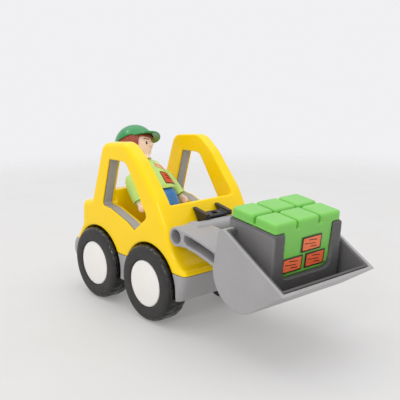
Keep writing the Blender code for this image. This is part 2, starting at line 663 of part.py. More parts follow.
def build_legs(frame):
    """Blue legs, one moulding that turns about the hips."""
    bend = (0, math.radians(LEG_BEND_DEG), 0)
    legs = box("driver_legs", (-5.2, -8.6, -20.8), (HIP_RADIUS, 8.6, -1.0), toy, "blue")
    round_edges(legs, 2.0, segments=2)
    driver_part(legs, frame, (0, 0, 0), bend)
    hips = cylinder("hips", (0, -8.6, 0), (0, 8.6, 0), HIP_RADIUS, 32)
    join(legs, driver_part(hips, frame, (0, 0, 0), bend))


def build_arm(frame, side):
    """Sleeve and hand that swing together about the shoulder."""
    place = "left" if side > 0 else "right"
    turn = (side * math.radians(ARM_SPLAY_DEG), math.radians(ARM_BACK_DEG), 0)
    joint = frame_empty("shoulder_" + place, frame,
                        (-SHOULDER_SET_BACK, side * SHOULDER_Y, SHOULDER_UP), turn)
    sleeve = turned("driver_arm_" + place, [
        (0, 3.6), (2.2, 3.0), (3.6, 1.2), (3.9, -1.0), (4.1, -7.0), (3.3, -ARM_LENGTH),
        (0, -ARM_LENGTH),
    ], 20, toy, "sleeve_green")
    driver_part(sleeve, joint)
    hand = ball("driver_hand_" + place, (0, 0, -ARM_LENGTH - 3.2), 2.9, (1.0, 0.85, 1.0), 14,
                toy, "skin")
    driver_part(hand, joint)


def build_head(frame):
    """Head, hair and cap, turned together a little to the driver's left."""
    neck = frame_empty("neck", frame, (0, 0, 26.0), (0, 0, math.radians(HEAD_TURN_DEG)))
    centre = (-HEAD_SET_BACK, 0, HEAD_CENTRE - 26.0)
    head = ball("driver_head", centre, HEAD_RADIUS, collection=toy, colour="skin")
    join(head, driver_part(cylinder("neck_stem", (0, 0, -1.0), (0, 0, 5.0), 4.4, 20), neck))
    driver_part(head, neck)

    hair = ball("driver_hair", centre, HAIR_RADIUS, collection=toy, colour="brown")
    driver_part(hair, neck)
    inner = ball("hair_inside", centre, HEAD_RADIUS + GAP)
    face = box("face_opening", (1.5, -8.0, -5), (20, 8.0, centre[2] + 3.0))
    nape = box("nape_opening", (-20, -20, -10), (20, 20, centre[2] - 5.5))
    cut(hair, *[driver_part(tool, neck) for tool in (inner, face, nape)])

    cap = ball("driver_cap", centre, CAP_RADIUS, collection=toy, colour="cap_green")
    driver_part(cap, neck)
    drop = math.radians(BRIM_DROP_DEG)
    outwards = Vector((math.cos(drop), 0, -math.sin(drop)))
    upwards = Vector((math.sin(drop), 0, math.cos(drop)))
    under = Vector((centre[0], 0, centre[2] + 3.4)) + outwards * (BRIM_REACH - BRIM_RADIUS)
    brim = cylinder("brim", under, under + upwards * 1.2, BRIM_RADIUS, 28)
    crown = ball("cap_inside", centre, HAIR_RADIUS + GAP)
    below = box("below_cap", (-20, -20, -10), (8, 20, centre[2] + 2.6))
    join(cap, driver_part(brim, neck))
    cut(cap, *[driver_part(tool, neck) for tool in (crown, below)])


def build_driver():
    """The driver stands in the cab, leaning back on the seat."""
    lean = (0, -math.radians(DRIVER_LEAN_DEG), 0)
    frame = frame_empty("driver_frame", toy_frame, (HIP_X, 0, HIP_Z), lean)
    build_torso(frame)
    build_legs(frame)
    for side in (-1, 1):
        build_arm(frame, side)
    build_head(frame)


# ---------------------------------------------------------------- assembly

wheel_arches = arch_cutters()
build_body_shell(wheel_arches)
build_liner(-1)
build_liner(1)
build_chassis(wheel_arches)
build_chassis_screws()
for end_name, axle_x in (("front", AXLE_X), ("rear", -AXLE_X)):
    build_axle("axle_" + end_name, axle_x)
    build_wheel(end_name + "_right", axle_x, -1)
    build_wheel(end_name + "_left", axle_x, 1)
build_hinge_bracket()
build_loader_scoop()
build_scoop_insert()
build_brick_load()
build_labels()
build_driver()
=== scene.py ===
"""Finished looks for the toy wheel loader: moulded surfaces, tyres, prints, driver and studio.

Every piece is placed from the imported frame. Lengths are in millimetres until they reach a mesh.
"""

import json
import math

import bmesh
import bpy
from mathutils import Matrix, Vector
from mathutils.bvhtree import BVHTree


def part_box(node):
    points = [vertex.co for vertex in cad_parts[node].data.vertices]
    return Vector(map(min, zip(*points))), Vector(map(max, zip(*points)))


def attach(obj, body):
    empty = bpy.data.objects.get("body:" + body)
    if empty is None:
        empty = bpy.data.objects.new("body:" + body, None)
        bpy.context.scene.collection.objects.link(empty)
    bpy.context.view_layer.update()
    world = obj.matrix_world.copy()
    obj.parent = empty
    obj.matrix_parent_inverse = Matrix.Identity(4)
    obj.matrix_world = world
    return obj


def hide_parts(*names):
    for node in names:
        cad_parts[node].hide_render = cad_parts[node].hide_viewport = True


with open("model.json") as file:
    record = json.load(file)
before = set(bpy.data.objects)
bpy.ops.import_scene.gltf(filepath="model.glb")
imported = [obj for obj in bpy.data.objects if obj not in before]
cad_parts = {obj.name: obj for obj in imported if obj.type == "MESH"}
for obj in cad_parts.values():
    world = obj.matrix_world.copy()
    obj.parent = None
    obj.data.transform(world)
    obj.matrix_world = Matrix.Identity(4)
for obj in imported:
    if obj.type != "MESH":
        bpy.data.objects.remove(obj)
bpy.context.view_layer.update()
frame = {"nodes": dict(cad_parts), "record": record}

MM = 0.001

# Spacing of the fine surfaces that replace the CAD solids, from the body down to its liners.
FINE_GRID, THIN_GRID, FIGURE_GRID, LINER_GRID, BRACKET_GRID = 0.42, 0.34, 0.26, 0.25, 0.22

# Share of the fine faces that is kept: on moulded parts, and on the driver's pieces.
KEEP_SHARE, FIGURE_KEEP_SHARE = 0.35, 0.5

# Tyre and wheel. The tread's polish comes in between two distances from the axle.
LUGS, TYRE_STEPS_PER_LUG = 24, 8
LUG_GROOVE_DEPTH, LUG_GROOVE_SHARE = 0.32, 0.26
POLISH_START, POLISH_FULL = 19.2, 20.3
TYRE_GAP, HUB_PROUD, HUB_RIBS = 0.25, 0.08, 6

# Bracket: radius of its rails.
RAIL_RADIUS = 1.35

# Screw: half the length and half the width of its cross recess, and the depth of each slot.
RECESS_REACH, RECESS_HALF = 1.35, 0.22
RECESS_DEPTHS = (0.45, 0.40)

# Load.
CUSHION_PITCH, CUSHION_LENGTH, CUSHION_WIDTH, CUSHION_EDGE = 15.4, 14.1, 14.1, 1.6
CUSHION_TOP, CUSHION_FOOT, GROOVE_FLOOR = 5.0, 0.1, 0.4

# Driver, in the leaning frame of the torso.
LEAN_DEG = 41.0
HEAD_TURN_DEG, HEAD_NOD_DEG = 38.0, 20.0
NECK_UP, HEAD_UP, HEAD_BACK = 26.0, 37.8, 1.2
LEGS_DROP_DEG = 10.0
ARM_SPLAY_DEG, ARM_BACK_DEG = 8.0, -5.0
HEAD_RADII = (10.2, 9.9, 10.2)
EYE_SIDE_DEG = 26
COMB_MARKS, COMB_DEPTH = 30, 0.14
CAP_SEAMS, SEAM_DEPTH, SEAM_HALF_WIDTH = 6, 0.16, 0.28
BAND_TILT_DEG, BAND_UP = 12.0, 2.4
BRIM_SPREAD_DEG, BRIM_THICKNESS, BRIM_UP = 78, 1.15, 4.3
PRINT_THICKNESS = 0.2

# Studio. The glow is the part of the floor's brightness that the toy's shadow leaves alone.
FLOOR_RADIUS, FLOOR_GLOW = 620, 0.20
FLOOR_FADE_START, FLOOR_FADE_END = 0.42, 0.60
LIGHT_AIM = Vector((0, 0, 0.03))

# Softboxes: name, place in metres, side in metres, watts.
LIGHTS = (("top_softbox", (-0.10, 0.10, 1.20), 1.6, 5.6),
          ("front_fill", (0.75, -0.75, 0.50), 0.7, 0.4),
          ("window_glint", (-0.55, -0.30, 1.00), 0.22, 0.7),
          ("edge_glint", (0.50, -0.85, 0.62), 0.20, 1.7))

# Camera: angles, the point that it looks at, its distance in metres and its lens.
CAMERA_AZIMUTH_DEG, CAMERA_ELEVATION_DEG, CAMERA_ROLL_DEG = 49.445, 12.546, -0.275
CAMERA_TARGET, CAMERA_DISTANCE = Vector((-3.24, 0.0, 62.98)), 0.39338
CAMERA_LENS, CAMERA_SENSOR = 65.34, 36.0

joints = {joint["name"]: joint for joint in frame["record"]["behaviour"]["joints"]}


# ---------------------------------------------------------------- small helpers

def srgb(red, green, blue):
    """Linear colour from 0-255 display values."""
    values = [v / 255 for v in (red, green, blue)]
    linear = [v / 12.92 if v <= 0.04045 else ((v + 0.055) / 1.055) ** 2.4 for v in values]
    return (*linear, 1.0)


def smooth_step(low, high, value):
    """0 below low, 1 above high and an even blend between."""
    share = min(max((value - low) / (high - low), 0.0), 1.0)
    return share * share * (3 - 2 * share)


def box_mm(node):
    """Lowest and highest corner of a CAD node's box, in millimetres."""
    low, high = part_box(node)
    return low / MM, high / MM


def new_object(name, data):
    """Object from a bmesh that is given in millimetres."""
    bmesh.ops.scale(data, verts=data.verts, vec=(MM, MM, MM))
    bmesh.ops.recalc_face_normals(data, faces=data.faces)
    mesh = bpy.data.meshes.new(name)
    data.to_mesh(mesh)
    data.free()
    obj = bpy.data.objects.new(name, mesh)
    bpy.context.scene.collection.objects.link(obj)
    return obj


def bake(obj):
    """Replace an object's mesh by its modified form, shaded smooth."""
    bpy.context.view_layer.update()
    evaluated = obj.evaluated_get(bpy.context.evaluated_depsgraph_get())
    mesh = bpy.data.meshes.new_from_object(evaluated)
    mesh.name = obj.name
    obj.modifiers.clear()
    obj.data = mesh
    mesh.shade_smooth()


def sharpen(obj, angle_deg):
    """Shade smooth apart from the edges that bend more than an angle."""
    obj.data.shade_smooth()
    obj.data.set_sharp_from_angle(angle=math.radians(angle_deg))


def soften(obj, grid, relax, share=KEEP_SHARE):
    """Rebuild the surface on a fine even grid, relax its edges and thin out the flat stretches."""
    remesh = obj.modifiers.new("grid", "REMESH")
    remesh.mode = "VOXEL"
    remesh.voxel_size = grid * MM
    remesh.use_smooth_shade = True
    smooth = obj.modifiers.new("relax", "SMOOTH")
    smooth.factor = 0.5
    smooth.iterations = relax
    thin = obj.modifiers.new("thin", "DECIMATE")
    thin.ratio = share
    weigh = obj.modifiers.new("weigh", "WEIGHTED_NORMAL")
    weigh.weight = 60
    bake(obj)


def finish(obj, body, material, *nodes, slot=None):
    """Give a piece its material and body, and hide the CAD nodes that it replaces; slot is not
    used.
    """
    obj.data.materials.clear()
    obj.data.materials.append(material)
    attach(obj, body)
    if nodes:
        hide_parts(*nodes)
    return obj


def moulded(node, name, body, material, grid, relax):
    """Piece with a CAD node's shape and softly rounded moulded edges."""
    obj = bpy.data.objects.new(name, frame["nodes"][node].data.copy())
    bpy.context.scene.collection.objects.link(obj)
    soften(obj, grid, relax)
    finish(obj, body, material, node)


def cad_copy(node):
    """A CAD node's mesh as a bmesh in millimetres."""
    data = bmesh.new()
    data.from_mesh(frame["nodes"][node].data)
    bmesh.ops.scale(data, verts=data.verts, vec=(1 / MM,) * 3)
    return data


def settle(obj, place):
    """Turn a piece's mesh into its place and keep its origin on the frame's origin."""
    obj.data.transform(place.to_3x3().to_4x4())
    obj.location = place.translation * MM
    return obj


def subtract(obj, name, data):
    """Cut a shape, given as a bmesh in millimetres, out of an object."""
    room = new_object(name, data)
    boolean = obj.modifiers.new("cut", "BOOLEAN")
    boolean.object = room
    boolean.operation = "DIFFERENCE"
    boolean.solver = "EXACT"
    bake(obj)
    bpy.data.objects.remove(room, do_unlink=True)


def thicken(obj, thickness):
    """Give a sheet an even thickness, half to each side."""
    thick = obj.modifiers.new("thick", "SOLIDIFY")
    thick.thickness = thickness * MM
    thick.offset = 0
    bake(obj)


# ---------------------------------------------------------------- shapes in millimetres

def add_box(data, low, high, radius=0.0, segments=4, matrix=Matrix.Identity(4)):
    """Cuboid with rounded edges."""
    low, high = Vector(low), Vector(high)
    made = bmesh.ops.create_cube(data, size=1.0)["verts"]
    bmesh.ops.scale(data, verts=made, vec=high - low)
    bmesh.ops.translate(data, verts=made, vec=(low + high) / 2)
    if radius:
        edges = list({edge for vert in made for edge in vert.link_edges})
        result = bmesh.ops.bevel(data, geom=edges, offset=radius, segments=segments, profile=0.5,
                                 affect="EDGES")
        made = result["verts"]
    bmesh.ops.transform(data, verts=made, matrix=matrix)


def add_ball(data, centre, radii, matrix=Matrix.Identity(4), sides=40):
    """Ellipsoid."""
    made = bmesh.ops.create_uvsphere(data, u_segments=sides, v_segments=sides // 2,
                                     radius=1.0)["verts"]
    bmesh.ops.scale(data, verts=made, vec=radii)
    bmesh.ops.translate(data, verts=made, vec=centre)
    bmesh.ops.transform(data, verts=made, matrix=matrix)


def add_rod(data, start, end, start_radius, end_radius=None, sides=32, matrix=Matrix.Identity(4)):
    """Round rod or cone between two points."""
    start, end = Vector(start), Vector(end)
    along = end - start
    turn = along.to_track_quat("Z", "Y").to_matrix().to_4x4()
    made = bmesh.ops.create_cone(
        data, cap_ends=True, segments=sides, radius1=start_radius,
        radius2=start_radius if end_radius is None else end_radius, depth=along.length)["verts"]
    bmesh.ops.transform(data, verts=made,
                        matrix=matrix @ Matrix.Translation((start + end) / 2) @ turn)


def add_loft(data, sections, sides=48):
    """Closed skin through level sections (x, y, z, half_x, half_y, power), lowest first."""
    rings = []
    for x, y, z, half_x, half_y, power in sections:
        ring = []
        for step in range(sides):
            angle = 2 * math.pi * step / sides
            c, s = math.cos(angle), math.sin(angle)
            reach_x = math.copysign(abs(c) ** (2 / power), c) * half_x
            reach_y = math.copysign(abs(s) ** (2 / power), s) * half_y
            ring.append(data.verts.new((x + reach_x, y + reach_y, z)))
        rings.append(ring)
    for lower, upper in zip(rings, rings[1:]):
        for i in range(sides):
            data.faces.new((lower[i], lower[(i + 1) % sides], upper[(i + 1) % sides], upper[i]))
    data.faces.new(list(reversed(rings[0])))
    data.faces.new(rings[-1])


def bridge_rows(data, rows):
    """Faces between rows of vertices that run side by side."""
    for here, ahead in zip(rows, rows[1:]):
        for i in range(len(here) - 1):
            data.faces.new((here[i], here[i + 1], ahead[i + 1], ahead[i]))


def ring_mesh(data, loops, matrix=Matrix.Identity(4)):
    """Skin over closed loops of points that run round an axis; the last loop meets the first."""
    grid = [[data.verts.new(matrix @ Vector(point)) for point in loop] for loop in loops]
    count = len(grid[0])
    for here, ahead in zip(grid, grid[1:] + grid[:1]):
        for i in range(count):
            j = (i + 1) % count
            data.faces.new((here[i], ahead[i], ahead[j], here[j]))


def revolve(data, profile, steps, matrix=Matrix.Identity(4)):
    """Solid of revolution about Z from (radius, height) points that start and end on the axis."""
    rings = []
    for radius, height in profile:
        if radius == 0:
            rings.append([data.verts.new(matrix @ Vector((0, 0, height)))])
            continue
        angles = [2 * math.pi * i / steps for i in range(steps)]
        points = [Vector((radius * math.cos(a), radius * math.sin(a), height)) for a in angles]
        rings.append([data.verts.new(matrix @ point) for point in points])
    for here, ahead in zip(rings, rings[1:]):
        for i in range(steps):
            j = (i + 1) % steps
            corners = [here[i % len(here)], here[j % len(here)],
                       ahead[j % len(ahead)], ahead[i % len(ahead)]]
            unique = list(dict.fromkeys(corners))
            if len(unique) > 2:
                data.faces.new(unique)


# ---------------------------------------------------------------- materials

class Nodes:
    """Short way to add and link shader nodes."""

    def __init__(self, name):
        self.material = bpy.data.materials.new(name)
        self.material.use_nodes = True
        self.tree = self.material.node_tree
        self.shader = self.tree.nodes["Principled BSDF"]
        self.place = self.add("ShaderNodeTexCoord").outputs["Object"]

    def add(self, kind, links=(), **values):
        node = self.tree.nodes.new(kind)
        for key, value in values.items():
            setattr(node, key, value)
        for socket, source in dict(links).items():
            self.feed(node.inputs[socket], source)
        return node

    def feed(self, socket, source):
        """Link a pattern to an input, or set a constant on it."""
        if isinstance(source, bpy.types.NodeSocket):
            self.tree.links.new(source, socket)
        else:
            socket.default_value = source

    def noise(self, size_mm, detail=3.0, rough=0.5, place=None):
        """Noise whose features are about size_mm across."""
        made = self.add("ShaderNodeTexNoise", {"Vector": place or self.place,
                                               "Scale": 1 / (size_mm * MM), "Detail": detail,
                                               "Roughness": rough})
        return made.outputs["Fac"]

    def spread(self, source, low, high, from_low=0.3, from_high=0.7):
        """Map a 0-1 pattern onto low-high."""
        made = self.add("ShaderNodeMapRange", {"Value": source, "From Min": from_low,
                                               "From Max": from_high, "To Min": low,
                                               "To Max": high})
        return made.outputs["Result"]

    def mix(self, share, first, second):
        """Blend two colours."""
        made = self.add("ShaderNodeMix", {0: share, 6: first, 7: second}, data_type="RGBA")
        return made.outputs[2]

    def math(self, operation, first, second=0.0):
        """One arithmetic step."""
        return self.add("ShaderNodeMath", {0: first, 1: second}, operation=operation).outputs[0]

    def into(self, socket, source):
        """Link a pattern, or set a constant, on the Principled shader."""
        self.feed(self.shader.inputs[socket], source)

    def bump(self, height, strength, depth_mm):
        """Raise the surface by a pattern."""
        made = self.add("ShaderNodeBump", {"Height": height, "Strength": strength,
                                           "Distance": depth_mm * MM})
        self.into("Normal", made.outputs["Normal"])


def shade(colour, factor):
    """A lighter or darker copy of a colour."""
    return (*[min(max(channel * factor, 0.0), 1.0) for channel in colour[:3]], 1.0)


def plastic(name, colour, roughness, grain_mm=0.35, grain_depth=0.006, cloud=0.04, coat=0.0,
            soft=0.0, rub=0.10, gloss=0.5, painted_shade=None):
    """Moulded plastic: cloudy pigment, fine grain, uneven gloss, hairline scuffs, rubbed edges and
    painted shade in creases.

    With a painted shade share, the faces that look up and forward, where the load sits, are darker
    by that share.
    """
    nodes = Nodes(name)
    pigment = nodes.mix(nodes.spread(nodes.noise(14), 0, 1), shade(colour, 1 - cloud),
                        shade(colour, 1 + cloud))
    curve = nodes.add("ShaderNodeNewGeometry").outputs["Pointiness"]
    edge = nodes.spread(curve, 0, rub, 0.58, 0.70)
    pale = tuple(0.6 * c + 0.4 * max(colour[:3]) for c in colour[:3]) + (1.0,)
    worn = nodes.mix(edge, pigment, pale)
    # Painted shade: concave creases and hollows are darkened toward 55 per cent of the colour.
    crease_shade = nodes.spread(curve, 0.35, 0, 0.30, 0.42)
    tone = nodes.mix(crease_shade, worn, shade(colour, 0.55))
    # Painted shade: faces that look up and forward, on the scoop floor under the load, are
    # darkened, with a little noise in the share.
    if painted_shade:
        normal = nodes.add("ShaderNodeTexCoord").outputs["Normal"]
        toward = nodes.add("ShaderNodeVectorMath", {0: normal, 1: (0.5, 0.0, 0.85)},
                           operation="DOT_PRODUCT").outputs["Value"]
        painted_shade_share = nodes.math("MULTIPLY", nodes.spread(toward, 0.0, painted_shade, 0.12, 0.40),
                           nodes.spread(nodes.noise(5), 0.85, 1.0))
        tone = nodes.mix(painted_shade_share, tone, shade(colour, 0.25))
    nodes.into("Base Color", tone)
    stretch = nodes.add("ShaderNodeMapping", {"Vector": nodes.place,
                                              "Rotation": (0.3, 0.5, 0.9),
                                              "Scale": (0.08, 1.0, 1.0)})
    scuff = nodes.spread(nodes.noise(0.9, 4.0, 0.7, stretch.outputs["Vector"]), 0, 0.12, 0.62, 0.75)
    patch = nodes.spread(nodes.noise(7), roughness - 0.02, roughness + 0.04)
    nodes.into("Roughness", nodes.math("ADD", patch, scuff))
    fine = nodes.noise(grain_mm, 2.0)
    wavy = nodes.noise(6.0, 1.0)
    nodes.bump(nodes.math("ADD", fine, nodes.math("MULTIPLY", wavy, 2.0)), 1.0, grain_depth)
    nodes.into("Specular IOR Level", gloss)
    if coat:
        nodes.into("Coat Weight", coat)
        nodes.into("Coat Roughness", 0.12)
    if soft:
        nodes.into("Subsurface Weight", soft)
        nodes.into("Subsurface Radius", (1.0, 0.8, 0.5))
        nodes.into("Subsurface Scale", 1.2 * MM)
    return nodes.material


def tyre_rubber():
    """Black tyre: matt sidewall with dust and a polished tread, told apart by distance from the
    hub.
    """
    nodes = Nodes("tyre_rubber")
    split = nodes.add("ShaderNodeSeparateXYZ", {"Vector": nodes.place})
    across, along, up = (split.outputs[i] for i in range(3))
    radius = nodes.math("SQRT", nodes.math("ADD", nodes.math("MULTIPLY", across, across),
                                           nodes.math("MULTIPLY", up, up)))
    tread = nodes.spread(radius, 0, 1, POLISH_START * MM, POLISH_FULL * MM)
    dust = nodes.spread(nodes.noise(3.5, 5.0, 0.65), 0, 1, 0.35, 0.7)
    side = nodes.mix(dust, srgb(34, 32, 31), srgb(44, 42, 40))
    nodes.into("Base Color", nodes.mix(tread, side, srgb(18, 16, 16)))
    nodes.into("Roughness", nodes.math("SUBTRACT", nodes.spread(nodes.noise(5), 0.50, 0.60),
                                       nodes.math("MULTIPLY", tread, 0.38)))
    nodes.bump(nodes.noise(0.3, 3.0, 0.6), 0.8, 0.02)
    return nodes.material


def steel():
    """Turned steel with fine rings and a little tarnish."""
    nodes = Nodes("axle_steel")
    stretch = nodes.add("ShaderNodeMapping", {"Vector": nodes.place, "Scale": (1, 12.0, 1)})
    rings = nodes.noise(0.8, 4.0, 0.6, stretch.outputs["Vector"])
    nodes.into("Base Color", nodes.mix(nodes.spread(nodes.noise(4), 0, 1), srgb(150, 150, 152),
                                       srgb(188, 188, 190)))
    nodes.into("Metallic", 1.0)
    nodes.into("Roughness", nodes.spread(rings, 0.25, 0.45))
    nodes.bump(rings, 0.5, 0.01)
    return nodes.material


def ink_box(nodes, across, up, half_across, half_up):
    """1 inside a rectangle centred on the piece and 0 outside."""
    in_across = nodes.math("LESS_THAN", nodes.math("ABSOLUTE", across), half_across * MM)
    in_up = nodes.math("LESS_THAN", nodes.math("ABSOLUTE", up), half_up * MM)
    return nodes.math("MULTIPLY", in_across, in_up)


def label_print(name, width, height, tint):
    """Orange brick drawn with a hand-inked outline and a few loose strokes."""
    nodes = Nodes(name)
    wobble = nodes.add("ShaderNodeTexNoise", {"Vector": nodes.place, "Scale": 1 / (2.2 * MM),
                                              "Detail": 2.0})
    shift = nodes.add("ShaderNodeVectorMath", {0: wobble.outputs["Color"], 1: (0.5 * MM,) * 3,
                                               2: nodes.place}, operation="MULTIPLY_ADD")
    moved = nodes.add("ShaderNodeVectorMath", {0: shift.outputs[0], 1: (0.25 * MM,) * 3},
                      operation="SUBTRACT")
    split = nodes.add("ShaderNodeSeparateXYZ", {"Vector": moved.outputs[0]})
    across, up = split.outputs[1], split.outputs[2]
    inside = ink_box(nodes, across, up, width / 2 - 0.75, height / 2 - 0.7)
    ink = nodes.math("SUBTRACT", 1.0, inside)
    for row, (middle, reach) in enumerate(((-0.5, 3.0), (1.2, 3.8), (-1.4, 2.3))):
        line = (1 - row) * height * 0.22
        x = nodes.math("ADD", across, middle * MM)
        z = nodes.math("ADD", up, nodes.math("ADD", nodes.math("MULTIPLY", x, 0.10), -line * MM))
        ink = nodes.math("MAXIMUM", ink, ink_box(nodes, x, z, reach, 0.22))
    orange = nodes.mix(nodes.spread(nodes.noise(2.5), 0, 1), shade(tint, 0.93), shade(tint, 1.05))
    nodes.into("Base Color", nodes.mix(ink, orange, srgb(38, 28, 28)))
    nodes.into("Roughness", nodes.spread(nodes.noise(1.5), 0.32, 0.42))
    nodes.bump(nodes.noise(0.4), 0.5, 0.01)
    return nodes.material


yellow = plastic("yellow_plastic", srgb(255, 213, 0), 0.20, cloud=0.01, gloss=0.32,
                 grain_depth=0.003)
light_grey = plastic("light_grey_plastic", srgb(160, 158, 158), 0.38, grain_depth=0.010)
# The insert carries painted shade on its up-and-forward faces, under the load.
dark_grey = plastic("dark_grey_plastic", srgb(118, 116, 116), 0.42, grain_depth=0.010, gloss=0.4,
                    painted_shade=0.72)
black = plastic("black_plastic", srgb(34, 32, 34), 0.34)
white = plastic("white_plastic", srgb(238, 235, 229), 0.38, cloud=0.02, soft=0.15)
block_green = plastic("block_green_plastic", srgb(118, 196, 78), 0.38, cloud=0.03, soft=0.2,
                      coat=0.15, gloss=0.6)
cap_green = plastic("cap_green_plastic", srgb(18, 138, 66), 0.26, coat=0.3)
sleeve_green = plastic("sleeve_green_plastic", srgb(192, 228, 126), 0.40, soft=0.1)
brown = plastic("hair_brown_plastic", srgb(150, 64, 42), 0.42)
skin = plastic("skin_plastic", srgb(252, 220, 198), 0.42, cloud=0.02, soft=0.25)
blue = plastic("trouser_blue_plastic", srgb(54, 126, 198), 0.40)
shoe_brown = plastic("shoe_plastic", srgb(70, 48, 40), 0.40)
ink_black = plastic("print_black", srgb(38, 26, 24), 0.38)
ink_red = plastic("print_red", srgb(216, 74, 30), 0.38)
ink_cream = plastic("print_cream", srgb(245, 205, 160), 0.40)
rubber = tyre_rubber()
bare_steel = steel()


# ---------------------------------------------------------------- vehicle

moulded("body_shell", "body_moulding", "vehicle", yellow, FINE_GRID, 5)
moulded("chassis", "chassis_moulding", "vehicle", light_grey, FINE_GRID, 4)
for place in ("left", "right"):
    moulded("window_liner_" + place, "window_lining_" + place, "vehicle", light_grey, LINER_GRID,
            2)
moulded("loader_scoop", "scoop_moulding", "loader", light_grey, THIN_GRID, 4)
moulded("scoop_insert", "insert_moulding", "loader", dark_grey, THIN_GRID, 4)


def build_bracket():
    """Black clip: cheeks with round-ended rails on top, and two ribs on the bridge between them."""
    low, high = box_mm("hinge_bracket")
    start = Vector((low.x + 4.0, 0, high.z - RAIL_RADIUS))
    end = Vector((low.x + 13.4, 0, high.z - RAIL_RADIUS - 2.4))
    data = cad_copy("hinge_bracket")
    for side in (-1, 1):
        across = Vector((0, side * (high.y - RAIL_RADIUS), 0))
        add_rod(data, start + across, end + across, RAIL_RADIUS)
        for tip in (start, end):
            add_ball(data, tip + across, (RAIL_RADIUS,) * 3, sides=24)
        rib = end + Vector((-0.8, side * 3.0, 0.2))
        add_rod(data, rib + Vector((-3.6, 0, 0.7)), rib, 0.7)
    bracket = new_object("bracket_moulding", data)
    soften(bracket, BRACKET_GRID, 2)
    finish(bracket, "vehicle", black, "hinge_bracket")


build_bracket()


def build_screw(number):
    """Pan-head screw with a cross recess."""
    node = "chassis_screw_%d" % number
    low, high = box_mm(node)
    foot = Matrix.Translation(((low.x + high.x) / 2, (low.y + high.y) / 2, low.z))
    head = (high.x - low.x) / 2
    data = bmesh.new()
    profile = [(0, 0), (head * 0.55, 0.03), (head * 0.88, 0.16), (head - 0.05, 0.38), (head, 0.7),
               (1.3, 0.72), (1.3, 11.9), (0.9, 12.4), (0, 12.6)]
    revolve(data, profile, 40, foot)
    screw = new_object("cross_screw_%d" % number, data)
    for arm, depth in enumerate(RECESS_DEPTHS):
        slot_room = bmesh.new()
        turn = foot @ Matrix.Rotation(0.5 * number + arm * math.pi / 2, 4, "Z")
        add_box(slot_room, (-RECESS_REACH, -RECESS_HALF, -0.5), (RECESS_REACH, RECESS_HALF, depth),
                matrix=turn)
        subtract(screw, "screw_slot", slot_room)
    sharpen(screw, 40)
    finish(screw, "vehicle", bare_steel, node)


for screw_number in range(1, 5):
    build_screw(screw_number)


# ---------------------------------------------------------------- wheels

def tyre_loops(width, outer, inner):
    """Loops of a lugged tyre about Y, from the back face (y = 0) to the outer face (y = width)."""
    section = [(inner + 0.1, 0.5), (inner + 0.5, 0.12), (inner + 1.2, 0.0), (outer - 3.2, 0.0),
               (outer - 2.3, 0.12), (outer - 1.2, 0.65), (outer - 0.45, 1.5), (outer - 0.08, 2.6)]
    tread = [(outer, 3.4 + (width - 6.8) * i / 12) for i in range(13)]
    mirrored = [(radius, width - y) for radius, y in reversed(section)]
    wall = [(inner, width - 0.9), (inner, width * 0.5), (inner, 0.9)]
    steps = LUGS * TYRE_STEPS_PER_LUG
    loops = []
    for radius, y in section + tread + mirrored + wall:
        on_tread = smooth_step(outer - 1.4, outer - 0.5, radius)
        middle = smooth_step(0.10, 0.0, abs(y / width - 0.5))
        stagger = 0.5 if y > width / 2 else 0.0
        loop = []
        for step in range(steps):
            phase = (step / TYRE_STEPS_PER_LUG + stagger) % 1.0
            from_groove = min(phase, 1 - phase)
            groove = 1 - smooth_step(0.04, LUG_GROOVE_SHARE, from_groove)
            sink = LUG_GROOVE_DEPTH * max(groove, 0.8 * middle) * on_tread
            angle = 2 * math.pi * step / steps
            reach = radius - sink
            loop.append((reach * math.cos(angle), y, reach * math.sin(angle)))
        loops.append(loop)
    return loops


def build_wheel(place, body):
    """Tyre with shallow lugs, and a white domed wheel with ribs on its hidden side."""
    tyre_node, hub_node = "tyre_" + place, "hub_" + place
    low, high = box_mm(tyre_node)
    hub_low, hub_high = box_mm(hub_node)
    centre = (low + high) / 2
    side = 1 if centre.y > 0 else -1
    back = low.y if side > 0 else high.y
    width, outer = high.y - low.y, (high.z - low.z) / 2
    rim = (hub_high.z - hub_low.z) / 2
    turn = Matrix.Scale(side, 4, (0, 1, 0))
    data = bmesh.new()
    ring_mesh(data, tyre_loops(width, outer, rim + TYRE_GAP), turn)
    tyre = new_object("rubber_" + tyre_node, data)
    tyre.location = Vector((centre.x, back, centre.z)) * MM
    tyre.data.shade_smooth()
    finish(tyre, body, rubber, tyre_node)

    face = width + HUB_PROUD
    data = bmesh.new()
    dome = [(rim * 0.96 * i / 14, face - 0.5 * (i / 14) ** 2.4) for i in range(15)]
    profile = dome + [(rim - 0.2, face - 0.62), (rim - 0.03, face - 0.85), (rim, face - 1.2),
                      (rim, 0.9), (rim - 0.25, 0.6), (rim - 1.3, 0.6), (rim - 1.55, 0.9),
                      (rim - 1.6, width - 2.8), (rim - 2.0, width - 2.5), (4.4, width - 2.5),
                      (4.0, width - 2.9), (4.0, -0.5), (3.7, -0.75), (1.9, -0.75), (1.7, -0.5),
                      (1.7, width - 2.5), (0, width - 2.5)]
    to_axle = turn @ Matrix.Rotation(-math.pi / 2, 4, "X")
    revolve(data, profile, 96, to_axle)
    for rib in range(HUB_RIBS):
        spin = to_axle @ Matrix.Rotation(2 * math.pi / HUB_RIBS * rib, 4, "Z")
        add_box(data, (3.6, -0.5, 2.0), (rim - 1.2, 0.5, width - 2.2), 0.2, 2, spin)
    hub = new_object("white_" + hub_node, data)
    hub.location = tyre.location
    sharpen(hub, 50)
    finish(hub, body, white, hub_node)


